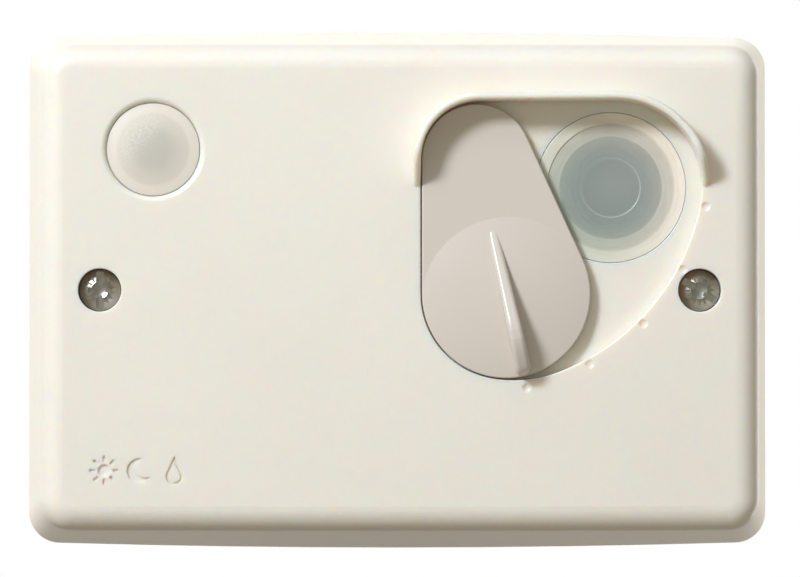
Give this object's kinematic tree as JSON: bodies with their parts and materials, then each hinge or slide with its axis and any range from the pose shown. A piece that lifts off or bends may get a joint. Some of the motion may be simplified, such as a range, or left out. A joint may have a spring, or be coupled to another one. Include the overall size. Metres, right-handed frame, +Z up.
{
  "type": "twilight switch",
  "caption": "Wall-mounted twilight switch: drafted box with a light sensor in a hooded recess, a swinging shutter that covers it, an indicator lens and cable entries below.",
  "frame": {"origin": "centre of the flat back of the base, on the wall", "axes": "+X to the right along the long side seen from the front, +Y into the wall, +Z up; the front faces -Y"},
  "size_m": [0.12, 0.0444, 0.084],
  "materials": {
    "ivory_abs": "satin",
    "grey_abs": "satin",
    "greige_abs": "satin",
    "milky_polycarbonate": "frosted",
    "nickel_plated_steel": "nickel plated",
    "black_rubber": "matt",
    "green_laminate": "satin",
    "black_plastic": "matt",
    "red_epoxy": "clear",
    "cell_ceramic": "matt",
    "grey_polyamide": "matt",
    "brass": "bright",
    "blue_plastic": "satin",
    "white_polyamide": "matt",
    "copper_wire": "enamelled",
    "iron": "bare",
    "yellow_film_box": "satin",
    "capacitor_sleeve": "satin",
    "resistor_ceramic": "matt",
    "diode_epoxy": "matt"
  },
  "bodies": {
    "housing": {"base": "grey_abs", "front_cover": "ivory_abs", "cover_screws": "nickel_plated_steel", "cable_grommets": "black_rubber", "sensor_lens": "milky_polycarbonate", "indicator_lens": "milky_polycarbonate", "cover_gasket": "black_rubber", "cover_screw_seals": "black_rubber", "shutter_spring_washer": "nickel_plated_steel", "sensor_lens_gasket": "black_rubber", "indicator_lens_gasket": "black_rubber", "circuit_board": "green_laminate", "board_screws": "nickel_plated_steel", "sensor_shroud": "black_plastic", "photocell": "cell_ceramic", "led_spacer": "black_plastic", "indicator_led": "red_epoxy", "terminal_block": "grey_polyamide", "terminal_clamps": "brass", "terminal_screws": "nickel_plated_steel", "relay_base": "black_plastic", "relay_case": "blue_plastic", "relay_bobbin": "white_polyamide", "relay_winding": "copper_wire", "relay_yoke": "iron", "relay_coil_pins": "brass", "relay_fixed_contact": "brass", "film_capacitor": "yellow_film_box", "smoothing_capacitor": "capacitor_sleeve", "delay_capacitor": "capacitor_sleeve", "dropper_resistors": "resistor_ceramic", "rectifier_diodes": "diode_epoxy", "varistor": "blue_plastic", "fuse": "black_plastic", "comparator_chip": "black_plastic", "driver_transistor": "black_plastic"},
    "shutter": {"shutter": "greige_abs", "shutter_o_ring": "black_rubber", "shutter_clip": "nickel_plated_steel"},
    "relay_armature": {"relay_armature": "iron", "relay_moving_contact": "brass"}
  },
  "joints": [
    {"name": "shutter_turn", "type": "hinge", "parent": "housing", "child": "shutter", "pos_m": [0.01225, -0.03745, 0.0204], "axis": [0, -1, 0], "range_deg": [0, 66]},
    {"name": "relay_armature_turn", "type": "hinge", "parent": "housing", "child": "relay_armature", "pos_m": [-0.00995, -0.0235, 0.0246], "axis": [0, 0, 1], "range_deg": [0, 3], "stiffness_Nm_per_rad": 0.01, "springref_deg": -1.72}
  ]
}
